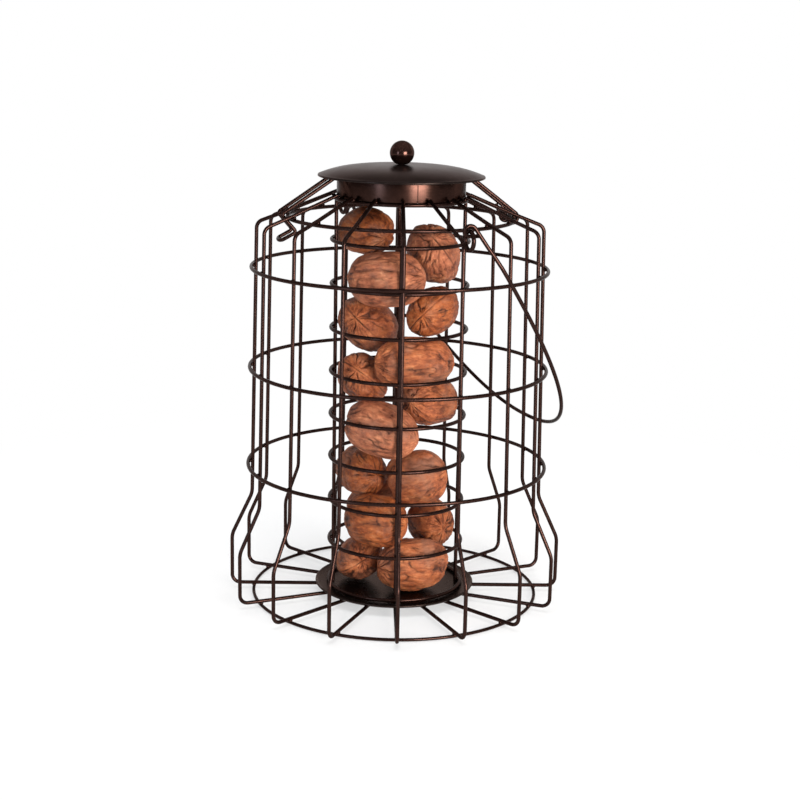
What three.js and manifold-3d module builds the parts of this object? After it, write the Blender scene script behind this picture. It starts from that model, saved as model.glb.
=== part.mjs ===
// A squirrel proof bird feeder: a walnut tube inside a cage of bent wires.
// Millimetres, +Z up, the origin on the floor under the middle of the cage.
import * as THREE from "three";
import { mergeVertices } from "three/addons/utils/BufferGeometryUtils.js";
import Module from "manifold-3d";

const wasm = await Module();
wasm.setup();

// Driving dimensions
const wire_d = 2;
const weld_gap = 0.3;
const overrun = 4;

// The cage of bent ribs and the rings round it
const rib_count = 16;
const rib_turn_deg = 1.5;
const rib_foot_r = 88.2;
const rib_inner_end_r = 27;
const flare_low_z = 30.5;
const flare_high_z = 54;
const cage_r = 77.3;
const cage_top_r = 74.6;
const cage_top_z = 200;
const shoulder_r = 58.7;
const shoulder_z = 206.1;
const neck_end_r = 35.6;
const neck_end_z = 215.7;
const rib_bend_r = 4.5;
const flare_bend_r = 12;
const hoop_heights = { upper: 177.5, middle: 124.7, lower: 72.1 };
const foot_ring_inset = 11.8;
const neck_ring_r = 33.9;
const neck_ring_z = 213.4;

// The walnut tube and its base plate
const upright_count = 4;
const upright_r = 33.4;
const band_step_count = 8;
const top_band_drop = 21.4;
const plate_r = 42.9;
const plate_t = 0.9;
const plate_rim_rise = 0.9;
const plate_rim_w = 2.2;

// The lid with its skirt, ball and spring wire
const lid_r = 43.3;
const lid_t = 0.8;
const lid_rim_z = 225.4;
const lid_rise = 5.4;
const lid_lip = 0.7;
const lid_crown_power = 3.5;
const lid_turn_deg = 14.3;
const skirt_r = 33.4;
const skirt_t = 0.8;
const skirt_seam_w = 0.5;
const ball_d = 12.7;
const stud_d = 3;
const stud_hole_gap = 0.35;
const nut_flange_r = 7.4;
const nut_flange_t = 1.2;
const nut_across = 6.4;
const nut_h = 2.6;
const spring_gap_w = 11;
const hook_gap = 0.7;
const stub_rise = 6;
const stub_lean = 2.6;
const latch_out = 4.9;
const latch_up = 2.6;
const latch_in = 2.8;
const latch_down = 6.3;
const tab_out = 3.7;
const tab_down = 9.8;
const latch_bend_r = 1.4;

// The hanging bail and its two eyes
const eye_wire_d = 2.2;
const eye_d = 11.3;
const eye_top_z = 206.2;
const eye_nestle = 0.75;
const bail_half_w = 87.2;
const bail_depth = 139.5;
const bail_rest_deg = 33.5;
const bail_depth_power = 3;
const bail_width_power = 2.2;
const bail_splay_depth = 26;
const curl_play = 0.55;
const curl_shift = 2.7;
const curl_stub = 5.5;

// The walnuts: each row gives the side of the tube that a nut leans on, where its long axis
// points, how much that rises and how far the nut is rolled, then its two sizes.
const walnut_length = 36;
const walnut_girth = 28.5;
const walnut_flat_share = 0.94;
const walnut_ridge_share = 0.05;
const walnut_tip_share = 0.04;
const walnut_blunt_power = 2.5;
const walnut_play = 0.35;
const walnut_drop_step = 1.5;
const walnut_rows = [
  { side: 29, axis: 112, rise: -1, roll: 113, length_share: 1.06, girth_share: 1.05 },
  { side: -89, axis: 7, rise: 11, roll: 97, length_share: 0.91, girth_share: 0.92 },
  { side: -30, axis: 62, rise: 2, roll: 78, length_share: 0.98, girth_share: 0.96 },
  { side: 117, axis: 22, rise: 5, roll: 58, length_share: 0.93, girth_share: 0.92 },
  { side: 208, axis: 91, rise: 25, roll: 103, length_share: 1.01, girth_share: 0.93 },
  { side: -94, axis: 29, rise: 6, roll: 70, length_share: 0.96, girth_share: 0.95 },
  { side: 37, axis: 70, rise: 17, roll: 76, length_share: 0.9, girth_share: 1.02 },
  { side: -25, axis: 71, rise: -11, roll: 105, length_share: 1.1, girth_share: 1 },
  { side: 94, axis: 151, rise: -6, roll: 40, length_share: 1.08, girth_share: 1.04 },
  { side: -79, axis: -9, rise: 25, roll: 110, length_share: 1, girth_share: 0.98 },
  { side: 23, axis: 110, rise: -2, roll: 88, length_share: 1.17, girth_share: 0.92 },
  { side: -97, axis: -18, rise: 18, roll: 51, length_share: 1.11, girth_share: 1.12 },
  { side: 69, axis: -18, rise: 3, roll: 65, length_share: 0.95, girth_share: 0.98 },
  { side: -22, axis: 72, rise: 7, roll: 84, length_share: 1.11, girth_share: 1 },
  { side: 85, axis: -1, rise: 29, roll: 132, length_share: 1.12, girth_share: 1.07 },
  { side: -93, axis: 36, rise: -5, roll: 52, length_share: 0.96, girth_share: 0.92 },
];

// Resolution of the solids
const walnut_cuts = 10;
const walnut_rings = 7;
const walnut_halvings = 5;
const lean_halvings = 10;
const wire_sides = 6;
const bend_cuts = 2;
const hoop_cuts = 32;
const small_ring_cuts = 24;
const turned_cuts = 36;
const knob_cuts = 18;
const eye_cuts = 16;
const nut_sides = 6;

const wire_r = wire_d / 2;
const degree = Math.PI / 180;
const touch = wire_d + weld_gap;
const rib_pitch_deg = 360 / rib_count;
// A six-sided section stands on its flat.
const flat_half = wire_r * Math.sin(Math.PI / 3);

const metal = new THREE.MeshStandardMaterial({ color: 0x2b1c18, roughness: 0.35, metalness: 0.7 });
const sheet = new THREE.MeshStandardMaterial({ color: 0x2a211f, roughness: 0.45, metalness: 0.7 });
const polished = new THREE.MeshStandardMaterial({ color: 0x2a1713, roughness: 0.15, metalness: 0.8 });
const shell = new THREE.MeshStandardMaterial({ color: 0xa6673a, roughness: 0.75, metalness: 0 });

const feeder = new THREE.Group();

function add(name, geometry, material) {
  const mesh = new THREE.Mesh(geometry, material);
  mesh.name = name;
  feeder.add(mesh);
  return mesh;
}

// A curve through stations that keeps each of them as a step of the sweep.
class StationPath extends THREE.Curve {
  constructor(stations) {
    super();
    this.stations = stations;
  }
  getUtoTmapping(u) {
    return u;
  }
  getPoint(t, target = new THREE.Vector3()) {
    const place = Math.min(Math.max(t, 0), 1) * (this.stations.length - 1);
    const i = Math.min(Math.floor(place), this.stations.length - 2);
    return target.lerpVectors(this.stations[i], this.stations[i + 1], place - i);
  }
}

// Replaces each inner corner by an arc of its own bend radius.
function rounded(corners, radii, cuts) {
  const stations = [corners[0]];
  for (let i = 1; i < corners.length - 1; i++) {
    const corner = corners[i];
    const back = corners[i - 1].clone().sub(corner).normalize();
    const on = corners[i + 1].clone().sub(corner).normalize();
    const half = back.angleTo(on) / 2;
    const reach = radii[i - 1] / Math.tan(half);
    const middle = back.clone().add(on).normalize();
    const centre = corner.clone().addScaledVector(middle, radii[i - 1] / Math.sin(half));
    const first = corner.clone().addScaledVector(back, reach).sub(centre);
    const last = corner.clone().addScaledVector(on, reach).sub(centre);
    const turn = first.angleTo(last);
    const axis = first.clone().cross(last).normalize();
    for (let k = 0; k <= cuts; k++) {
      stations.push(first.clone().applyAxisAngle(axis, (turn * k) / cuts).add(centre));
    }
  }
  stations.push(corners.at(-1));
  return stations;
}

function sweep(stations, radius) {
  const section = new THREE.Shape();
  for (let i = 0; i <= wire_sides; i++) {
    const a = (2 * Math.PI * i) / wire_sides;
    section[i ? "lineTo" : "moveTo"](radius * Math.cos(a), radius * Math.sin(a));
  }
  const path = new StationPath(stations);
  const steps = stations.length - 1;
  return new THREE.ExtrudeGeometry(section, { steps, bevelEnabled: false, extrudePath: path });
}

// A hoop whose first corner lies on a rib.
function hoop(ring_r, z, radius = wire_r, cuts = hoop_cuts) {
  const ring = new THREE.TorusGeometry(ring_r, radius, wire_sides, cuts);
  return ring.rotateZ(rib_turn_deg * degree).translate(0, 0, z);
}

// Azimuth runs from the front, which faces -Y, towards +X.
function radial(azimuth_deg, r, z) {
  const a = azimuth_deg * degree;
  return new THREE.Vector3(r * Math.sin(a), -r * Math.cos(a), z);
}

function solid(geometry) {
  const bare = geometry.index ? geometry.toNonIndexed() : geometry.clone();
  const merged = mergeVertices(
    new THREE.BufferGeometry().setAttribute("position", bare.getAttribute("position")), 1e-4);
  return new wasm.Manifold(new wasm.Mesh({
    numProp: 3,
    vertProperties: merged.attributes.position.array,
    triVerts: new Uint32Array(merged.index.array),
  }));
}

function geometryOf(manifold) {
  const mesh = manifold.getMesh();
  const geometry = new THREE.BufferGeometry();
  geometry.setAttribute("position", new THREE.BufferAttribute(mesh.vertProperties, mesh.numProp));
  geometry.setIndex(new THREE.BufferAttribute(mesh.triVerts, 1));
  geometry.computeVertexNormals();
  return geometry;
}

// A closed profile of [radius, height] pairs turned about Z.
function turned(profile, cuts = turned_cuts) {
  const points = profile.map(([r, z]) => new THREE.Vector2(r, z));
  return new THREE.LatheGeometry(points, cuts).rotateX(Math.PI / 2);
}

// Ribs
const foot_ring_z = flat_half;
const foot_ring_r = rib_foot_r - foot_ring_inset;
const foot_z = foot_ring_z + flat_half + weld_gap + wire_r;

function cageRadius(z) {
  const share = (z - flare_high_z) / (cage_top_z - flare_high_z);
  return cage_r + (cage_top_r - cage_r) * share;
}

function rib(azimuth_deg) {
  const corners = [
    radial(azimuth_deg, rib_inner_end_r, foot_z),
    radial(azimuth_deg, rib_foot_r, foot_z),
    radial(azimuth_deg, rib_foot_r, flare_low_z),
    radial(azimuth_deg, cage_r, flare_high_z),
    radial(azimuth_deg, cage_top_r, cage_top_z),
    radial(azimuth_deg, shoulder_r, shoulder_z),
    radial(azimuth_deg, neck_end_r, neck_end_z),
  ];
  const bends = [rib_bend_r, flare_bend_r, flare_bend_r, rib_bend_r, flare_bend_r];
  return sweep(rounded(corners, bends, bend_cuts), wire_r);
}

for (let i = 0; i < rib_count; i++) {
  const number = String(i + 1).padStart(2, "0");
  add("cage_rib_" + number, rib(rib_turn_deg + rib_pitch_deg * i), metal);
}

// Rings of the cage: the shoulder ring lies under the ribs, the hoops lie round them.
const shoulder_slope = Math.atan2(neck_end_z - shoulder_z, shoulder_r - neck_end_r);
const shoulder_ring_z = shoulder_z - touch / Math.cos(shoulder_slope);
add("neck_ring", hoop(neck_ring_r, neck_ring_z), metal);
add("shoulder_ring", hoop(shoulder_r, shoulder_ring_z), metal);
for (const [place, z] of Object.entries(hoop_heights)) {
  add(place + "_hoop", hoop(cageRadius(z) + touch, z), metal);
}
add("foot_ring", hoop(foot_ring_r, foot_ring_z), metal);

// Base plate: a thin disc with its edge turned up
const plate_z = foot_z + wire_r + weld_gap;

function basePlate() {
  const flat_r = plate_r - plate_rim_w;
  return turned([
    [0, plate_z],
    [flat_r, plate_z],
    [plate_r, plate_z + plate_rim_rise],
    [plate_r, plate_z + plate_rim_rise + plate_t],
    [flat_r, plate_z + plate_t],
    [0, plate_z + plate_t],
  ]);
}
add("base_plate", basePlate(), sheet);

// Walnut tube: uprights between the plate and the neck ring, bands welded round them
const floor_z = plate_z + plate_t;
const band_r = upright_r + touch;
const first_band_z = floor_z + weld_gap + flat_half;
const band_pitch = (neck_ring_z - top_band_drop - first_band_z) / band_step_count;

for (let i = 0; i < upright_count; i++) {
  const azimuth_deg = rib_turn_deg + (360 / upright_count) * i;
  const ends = [
    radial(azimuth_deg, upright_r, floor_z + weld_gap),
    radial(azimuth_deg, upright_r, neck_ring_z - wire_r - weld_gap),
  ];
  add("tube_upright_" + (i + 1), sweep(ends, wire_r), metal);
}
for (let i = 0; i <= band_step_count; i++) {
  const z = first_band_z + band_pitch * i;
  add("tube_band_" + (i + 1), hoop(band_r, z, wire_r, small_ring_cuts), metal);
}

// Lid: a thin pressed dome with a small lip, a rolled skirt and a ball on a stud. The spring wire
// and the skirt's seam stand turned from the front by the lid's own turn.
const lid_top_z = lid_rim_z + lid_rise;
const stud_r = stud_d / 2;

function domeHeight(r) {
  return lid_top_z - lid_rise * (r / lid_r) ** lid_crown_power;
}

function lidDome() {
  const profile = [];
  const hole_r = stud_r + stud_hole_gap;
  const rings = 7;
  for (let i = 0; i <= rings; i++) {
    const r = hole_r + ((lid_r - hole_r) * i) / rings;
    profile.push([r, domeHeight(r)]);
  }
  profile.push([lid_r, lid_rim_z - lid_lip]);
  profile.push([lid_r - lid_t, lid_rim_z - lid_lip]);
  for (let i = rings; i >= 0; i--) {
    const r = hole_r + ((lid_r - lid_t - hole_r) * i) / rings;
    profile.push([r, domeHeight(r) - lid_t]);
  }
  profile.push(profile[0]);
  return turned(profile.reverse());
}
add("lid_dome", lidDome(), sheet);

// Spring wire: two strands under the dome, hooked round the shoulder ring at one side
const spring_seat_r = skirt_r;
const spring_seat_z = domeHeight(spring_seat_r) - lid_t - weld_gap - wire_r;
const spring_mid_r = nut_flange_r + wire_r;
const spring_mid_z = domeHeight(spring_mid_r) - lid_t - weld_gap - wire_r;
const hook_r = touch + hook_gap;

function springStations() {
  const side = spring_gap_w / 2;
  const at = (x, y, z) => new THREE.Vector3(x, y, z);
  // The hook leaves its strand where the strand is tangent to the circle round the ring wire.
  const run = shoulder_r - spring_seat_r;
  const drop = spring_seat_z - shoulder_ring_z;
  const facing = Math.atan2(drop, -run);
  const start = facing - Math.acos(hook_r / Math.hypot(run, drop));
  const hook = [];
  const hook_steps = 6;
  for (let k = 0; k <= hook_steps; k++) {
    const a = start + ((-Math.PI - start) * k) / hook_steps;
    hook.push([shoulder_r + hook_r * Math.cos(a), shoulder_ring_z + hook_r * Math.sin(a)]);
  }
  hook.push([shoulder_r - hook_r - stub_lean, shoulder_ring_z + stub_rise]);
  const strand = (y) => {
    const corners = [
      at(spring_mid_r, y, spring_mid_z),
      at(-spring_mid_r, y, spring_mid_z),
      at(-spring_seat_r, y, spring_seat_z),
      at(-shoulder_r - latch_out, y, shoulder_ring_z + latch_up),
      at(-shoulder_r + latch_in, y, shoulder_ring_z - latch_down),
      at(-shoulder_r - tab_out, y, shoulder_ring_z - tab_down),
    ];
    const bends = [latch_bend_r, latch_bend_r, latch_bend_r, latch_bend_r];
    const far = rounded(corners, bends, bend_cuts);
    const near = hook.map(([x, z]) => at(x, y, z)).reverse();
    return [...near, at(spring_seat_r, y, spring_seat_z), ...far];
  };
  const out = strand(side);
  const back = strand(-side).reverse();
  const tab = out.at(-1);
  // The closed end of the hairpin is a half turn between the two strands.
  const bow = [];
  const bow_steps = 6;
  const reach = new THREE.Vector3(-tab_out - latch_in, 0, latch_down - tab_down).normalize();
  for (let k = 1; k < bow_steps; k++) {
    const a = (Math.PI * k) / bow_steps;
    bow.push(tab.clone().setY(side * Math.cos(a)).addScaledVector(reach, wire_d * Math.sin(a)));
  }
  return [...out, ...bow, ...back];
}
add("lid_spring_wire", sweep(springStations(), wire_r).rotateZ(lid_turn_deg * degree), metal);

// Skirt: a rolled strip with a butt seam, notched at the top for the four spring strands
const skirt_low_z = neck_ring_z + flat_half + weld_gap;
const skirt_high_z = domeHeight(skirt_r) - lid_t - weld_gap;

function skirt() {
  const strip = new THREE.Shape();
  const gap = skirt_seam_w / skirt_r;
  const start = -Math.PI / 2 + gap / 2;
  const sweep_angle = 2 * Math.PI - gap;
  const arc = (r, k) => {
    const a = start + (sweep_angle * k) / turned_cuts;
    return [r * Math.cos(a), r * Math.sin(a)];
  };
  for (let k = 0; k <= turned_cuts; k++) {
    strip[k ? "lineTo" : "moveTo"](...arc(skirt_r, k));
  }
  for (let k = turned_cuts; k >= 0; k--) {
    strip.lineTo(...arc(skirt_r - skirt_t, k));
  }
  const height = skirt_high_z - skirt_low_z;
  const band = new THREE.ExtrudeGeometry(strip, { depth: height, bevelEnabled: false });
  let body = solid(band.translate(0, 0, skirt_low_z));
  const notch_w = wire_d + 2 * weld_gap;
  const notch_floor_z = spring_seat_z - wire_r - 2 * weld_gap;
  const notch_h = skirt_high_z - notch_floor_z + overrun;
  for (const side of [-1, 1]) {
    const cut = new THREE.BoxGeometry(2 * skirt_r + overrun, notch_w, notch_h);
    cut.translate(0, (side * spring_gap_w) / 2, notch_floor_z + notch_h / 2);
    body = body.subtract(solid(cut));
  }
  return geometryOf(body).rotateZ(lid_turn_deg * degree);
}
add("lid_skirt", skirt(), sheet);

// Ball knob with its stud, and the flanged nut that clamps the spring strands under the dome
const nut_flange_z = spring_mid_z - wire_r - weld_gap;
const stud_low_z = nut_flange_z - nut_flange_t - nut_h;

function ballKnob() {
  const ball_r = ball_d / 2;
  const seat_z = lid_top_z + weld_gap;
  const seat_angle = Math.asin(stud_d / ball_r);
  const centre_z = seat_z + ball_r * Math.cos(seat_angle);
  const profile = [[0, stud_low_z], [stud_r, stud_low_z], [stud_r, seat_z]];
  const cuts = 11;
  for (let i = 0; i <= cuts; i++) {
    const a = Math.PI - seat_angle - ((Math.PI - seat_angle) * i) / cuts;
    profile.push([ball_r * Math.sin(a), centre_z + ball_r * Math.cos(a)]);
  }
  profile[profile.length - 1][0] = 0;
  return turned(profile, knob_cuts);
}
add("ball_knob", ballKnob(), polished);

function flangeNut() {
  const hole_r = stud_r + weld_gap;
  const hex_r = nut_across / 2 / Math.cos(Math.PI / nut_sides);
  const flange_low_z = nut_flange_z - nut_flange_t;
  const ring = (outer_r, low, high, cuts) => turned([
    [hole_r, low], [outer_r, low], [outer_r, high], [hole_r, high], [hole_r, low]], cuts);
  const flange = solid(ring(nut_flange_r, flange_low_z, nut_flange_z, knob_cuts));
  const hex = solid(ring(hex_r, stud_low_z + weld_gap, flange_low_z + weld_gap, nut_sides));
  return geometryOf(flange.add(hex));
}
add("flange_nut", flangeNut(), polished);

// Eyes welded outside two opposite ribs, each in its rib's own plane
const bail_azimuth_deg = rib_turn_deg + rib_pitch_deg;
const eye_wire_r = eye_wire_d / 2;
const eye_r = eye_d / 2 - eye_wire_r;
const eye_centre_r = cage_top_r + wire_r + weld_gap + eye_d / 2 - eye_nestle;
const eye_centre_z = eye_top_z - eye_r;

function eye(azimuth_deg) {
  const ring = new THREE.TorusGeometry(eye_r, eye_wire_r, wire_sides, eye_cuts).rotateX(Math.PI / 2);
  const at = radial(azimuth_deg, eye_centre_r, eye_centre_z);
  return ring.rotateZ((azimuth_deg - 90) * degree).translate(at.x, at.y, at.z);
}
add("bail_eye_front", eye(bail_azimuth_deg), metal);
add("bail_eye_back", eye(bail_azimuth_deg + 180), metal);

// Bail: a deep bow, splayed just below its eyes, whose ends curl round the tops of the eyes
const curl_r = eye_wire_r + curl_play + wire_r;

function bailStations() {
  const a = bail_azimuth_deg * degree;
  const rest = bail_rest_deg * degree;
  const along = new THREE.Vector3(Math.sin(a), -Math.cos(a), 0);
  const out = new THREE.Vector3(Math.cos(a), Math.sin(a), 0);
  const up = new THREE.Vector3(0, 0, 1);
  const down = out.clone().multiplyScalar(Math.sin(rest)).addScaledVector(up, -Math.cos(rest));
  const face = out.clone().multiplyScalar(Math.cos(rest)).addScaledVector(up, Math.sin(rest));
  const pivot = (e) => along.clone().multiplyScalar(e).addScaledVector(up, eye_top_z);
  const curl_top_e = eye_centre_r + curl_shift / 2;
  const half = [];
  // Stub and curl of the front end, from the tip to the leg.
  const curl_steps = 8;
  const last = -Math.PI / 2;
  const first = last - 2 * Math.PI + (Math.PI / 2 + rest);
  for (let k = 0; k <= curl_steps; k++) {
    const turn = last + ((first - last) * k) / curl_steps;
    const e = curl_top_e - curl_shift + (curl_shift * k) / curl_steps;
    half.push(pivot(e)
      .addScaledVector(out, curl_r * Math.cos(turn))
      .addScaledVector(up, curl_r * Math.sin(turn)));
  }
  half.unshift(half[0].clone().addScaledVector(out, curl_stub));
  // The leg follows a flattened oval down to the middle of the bow.
  const leg_steps = 20;
  for (let k = 1; k <= leg_steps; k++) {
    const turn = (Math.PI / 2) * (k / leg_steps);
    const depth = bail_depth * Math.sin(turn) ** (2 / bail_depth_power);
    const width = bail_half_w * Math.abs(Math.cos(turn)) ** (2 / bail_width_power);
    const splay = Math.min(depth / bail_splay_depth, 1);
    const ease = splay * splay * (3 - 2 * splay);
    const e = curl_top_e + (width - curl_top_e) * ease;
    half.push(pivot(k === leg_steps ? 0 : e)
      .addScaledVector(face, curl_r)
      .addScaledVector(down, depth));
  }
  // The back half mirrors the front half across the middle of the bow.
  const mirror = (p) => p.clone().addScaledVector(along, -2 * p.dot(along));
  const other = half.slice(0, -1).map(mirror).reverse();
  return [...half, ...other];
}
add("bail", sweep(bailStations(), wire_r), metal);

// Walnuts: each leans on one side of the tube and is let down until it rests on what lies below
const tube_wall_h = 2 * walnut_length;
const band_inner_r = band_r - wire_r;

function walnut(row, swell) {
  const nut = new THREE.SphereGeometry(1, walnut_cuts, walnut_rings);
  const place = nut.getAttribute("position");
  for (let i = 0; i < place.count; i++) {
    const p = new THREE.Vector3().fromBufferAttribute(place, i);
    const off_axis = Math.hypot(p.x, p.z);
    const seam = off_axis > 0 ? off_axis * Math.abs(p.x / off_axis) ** 6 : 0;
    const tip = Math.max(p.y, 0) ** 8;
    const round = Math.abs(p.y) ** walnut_blunt_power + off_axis ** walnut_blunt_power;
    const blunt = round ** (-1 / walnut_blunt_power);
    p.multiplyScalar(blunt * (1 + walnut_ridge_share * seam + walnut_tip_share * tip));
    place.setXYZ(i, p.x, p.y, p.z);
  }
  const girth = (walnut_girth * row.girth_share) / 2 + swell;
  const length = (walnut_length * row.length_share) / 2 + swell;
  nut.scale(girth, length, girth * walnut_flat_share);
  nut.rotateY(row.roll * degree);
  const rise = row.rise * degree;
  const long_axis = radial(row.axis, Math.cos(rise), Math.sin(rise));
  const upright = new THREE.Vector3(0, 1, 0);
  return nut.applyQuaternion(new THREE.Quaternion().setFromUnitVectors(upright, long_axis));
}

// How far out from the middle of the tube the nut's centre may lie on its side: its swollen shell
// stops at the uprights or, between them, at the bands.
const tubeWall = wasm.Manifold.union([
  wasm.Manifold.cylinder(tube_wall_h, band_r + overrun, band_r + overrun, turned_cuts, true)
    .subtract(
      wasm.Manifold.cylinder(tube_wall_h + overrun, band_inner_r, band_inner_r, turned_cuts, true)),
  ...Array.from({ length: upright_count }, (_, i) => {
    const at = radial(rib_turn_deg + (360 / upright_count) * i, upright_r, 0);
    return wasm.Manifold.cylinder(tube_wall_h, wire_r, wire_r, wire_sides, true).translate(at.x, at.y, 0);
  }),
]);

function leanRadius(nut, side) {
  let inner = 0;
  let outer = band_r;
  for (let k = 0; k < lean_halvings; k++) {
    const middle = (inner + outer) / 2;
    const at = radial(side, middle, 0);
    const body = solid(nut.clone().translate(at.x, at.y, 0));
    if (body.intersect(tubeWall).volume() > 0) outer = middle;
    else inner = middle;
  }
  return inner;
}

const seated = [];
walnut_rows.forEach((row, i) => {
  const nut = walnut(row, 0);
  nut.computeBoundingBox();
  const half_h = nut.boundingBox.max.z;
  const wide = walnut(row, walnut_play);
  const at = radial(row.side, leanRadius(wide, row.side), 0);
  const lowest_z = floor_z + walnut_play - nut.boundingBox.min.z;
  const blocked = (z) => {
    const near = seated.filter((other) => Math.abs(other.z - z) < other.half_h + half_h + walnut_play);
    if (z < lowest_z) return true;
    if (!near.length) return false;
    const body = solid(wide.clone().translate(at.x, at.y, z));
    return near.some((other) => body.intersect(other.body).volume() > 0);
  };
  let z = Math.max(lowest_z, ...seated.map((other) => other.z + other.half_h + half_h + walnut_play));
  while (!blocked(z - walnut_drop_step)) z -= walnut_drop_step;
  for (let step = walnut_drop_step / 2, k = 0; k < walnut_halvings; k++, step /= 2) {
    if (!blocked(z - step)) z -= step;
  }
  nut.translate(at.x, at.y, z);
  seated.push({ z, half_h, body: solid(nut) });
  add("walnut_" + String(i + 1).padStart(2, "0"), nut, shell);
});

export default feeder;
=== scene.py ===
"""The looks of a squirrel proof bird feeder, dressed over the solids of its CAD model.

Wire and sheet are drawn from the solids' own dimensions, and each walnut is fitted to its solid.
Two pieces are the scene's own: the weld beads, and the lap behind the skirt's seam.
"""

import math
from collections import namedtuple

import bmesh
import bpy
import numpy as np
from mathutils import Matrix, Vector, noise

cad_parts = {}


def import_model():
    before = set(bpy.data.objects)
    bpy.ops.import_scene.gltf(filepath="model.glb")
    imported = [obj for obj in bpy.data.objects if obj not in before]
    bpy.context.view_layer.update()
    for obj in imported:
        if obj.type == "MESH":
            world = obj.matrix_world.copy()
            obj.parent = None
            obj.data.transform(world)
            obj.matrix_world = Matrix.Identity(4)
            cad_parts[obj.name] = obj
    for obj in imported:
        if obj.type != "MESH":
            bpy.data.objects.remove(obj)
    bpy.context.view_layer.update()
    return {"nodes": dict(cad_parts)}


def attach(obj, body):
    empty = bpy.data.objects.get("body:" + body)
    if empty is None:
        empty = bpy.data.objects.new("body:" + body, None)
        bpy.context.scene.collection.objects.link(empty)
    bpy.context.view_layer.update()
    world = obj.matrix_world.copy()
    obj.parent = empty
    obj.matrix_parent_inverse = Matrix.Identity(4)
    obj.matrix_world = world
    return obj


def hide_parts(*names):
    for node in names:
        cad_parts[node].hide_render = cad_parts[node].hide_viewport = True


# noise_vector takes its offsets from this seed, and from the clock where none is set.
noise.seed_set(5)

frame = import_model()

# Lengths are in millimetres until a mesh or curve is made.
MM = 0.001
UP = Vector((0, 0, 1))

# Wire. The solids' wires have six sides, and those that lie flat reach flat_half up and down.
wire_d = 2.0
wire_r = wire_d / 2
weld_gap = 0.3
touch = wire_d + weld_gap
flat_half = wire_r * math.sin(math.pi / 3)

# Cage
rib_count = 16
rib_turn_deg = 1.5
rib_pitch_deg = 360 / rib_count
rib_azimuths = [rib_turn_deg + rib_pitch_deg * i for i in range(rib_count)]
rib_foot_r = 88.2
rib_inner_end_r = 27
flare_low_z = 30.5
flare_high_z = 54
cage_r = 77.3
cage_top_r = 74.6
cage_top_z = 200
shoulder_r = 58.7
shoulder_z = 206.1
neck_end_r = 35.6
neck_end_z = 215.7
shoulder_slope = math.atan2(neck_end_z - shoulder_z, shoulder_r - neck_end_r)
shoulder_ring_z = shoulder_z - touch / math.cos(shoulder_slope)
rib_bend_r = 4.5
flare_bend_r = 12
hoop_heights = {"upper_hoop": 177.5, "middle_hoop": 124.7, "lower_hoop": 72.1}
foot_ring_r = 76.4
foot_ring_z = flat_half
foot_z = foot_ring_z + flat_half + weld_gap + wire_r
neck_ring_r = 33.9
neck_ring_z = 213.4

# Tube
upright_count = 4
upright_r = 33.4
upright_azimuths = [rib_turn_deg + 360 / upright_count * i for i in range(upright_count)]
plate_r = 42.9
plate_t = 0.9
plate_rim_rise = 0.9
plate_rim_w = 2.2
plate_z = foot_z + wire_r + weld_gap
floor_z = plate_z + plate_t
band_r = upright_r + touch
band_pitch = 23.2
band_count = 9
first_band_z = floor_z + weld_gap + flat_half
band_heights = [first_band_z + band_pitch * i for i in range(band_count)]

# Lid
lid_r = 43.3
lid_t = 0.8
lid_rim_z = 225.4
lid_rise = 5.4
lid_lip = 0.7
lid_crown_power = 3.5
lid_turn_deg = 14.3
lid_top_z = lid_rim_z + lid_rise
skirt_r = 33.4
skirt_t = 0.8
skirt_seam_w = 0.5
ball_d = 12.7
ball_r = ball_d / 2
stud_d = 3
stud_r = stud_d / 2
nut_flange_r = 7.4
nut_flange_t = 1.2
nut_across = 6.4
nut_h = 2.6

# The lid's spring wire: hooks at the hinge, and a latch with its thumb tab at the other side
spring_gap_w = 11
hook_gap = 0.7
hook_r = touch + hook_gap
stub_rise = 6
stub_lean = 2.6
latch_out = 4.9
latch_up = 2.6
latch_in = 2.8
latch_down = 6.3
latch_bend_r = 1.4
tab_out = 3.7
tab_down = 9.8

# Bail and its eyes
eye_wire_d = 2.2
eye_wire_r = eye_wire_d / 2
eye_d = 11.3
eye_r = eye_d / 2 - eye_wire_r
eye_top_z = 206.2
eye_nestle = 0.75
eye_centre_r = cage_top_r + wire_r + weld_gap + eye_d / 2 - eye_nestle
eye_centre_z = eye_top_z - eye_r
bail_azimuth_deg = rib_turn_deg + rib_pitch_deg
bail_half_w = 87.2
bail_depth = 139.5
bail_rest_deg = 33.5
bail_depth_power = 3
bail_width_power = 2.2
bail_splay_depth = 26
curl_play = 0.55
curl_r = eye_wire_r + curl_play + wire_r
curl_shift = 2.7
curl_stub = 5.5


# Shader nodes. What feeds an input is a plain value or a socket.

def feed(tree, node, inputs):
    for name, value in inputs.items():
        if isinstance(value, bpy.types.NodeSocket):
            tree.links.new(value, node.inputs[name])
        else:
            node.inputs[name].default_value = value


def add(tree, kind, inputs, **settings):
    node = tree.nodes.new("ShaderNode" + kind)
    for name, value in settings.items():
        setattr(node, name, value)
    feed(tree, node, inputs)
    return node


def maths(tree, operation, *values, clamp=False):
    node = add(tree, "Math", dict(enumerate(values)), operation=operation, use_clamp=clamp)
    return node.outputs[0]


def map_range(tree, value, from_range, to_range):
    names = ("From Min", "From Max", "To Min", "To Max")
    inputs = dict(zip(names, (*from_range, *to_range)))
    return add(tree, "MapRange", {"Value": value, **inputs}).outputs[0]


def noise_texture(tree, point, scale, detail, roughness=0.5, distortion=0):
    inputs = {"Vector": point, "Scale": scale, "Detail": detail,
              "Roughness": roughness, "Distortion": distortion}
    return add(tree, "TexNoise", inputs).outputs["Fac"]


def grey(value):
    return (value, value, value)


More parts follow.
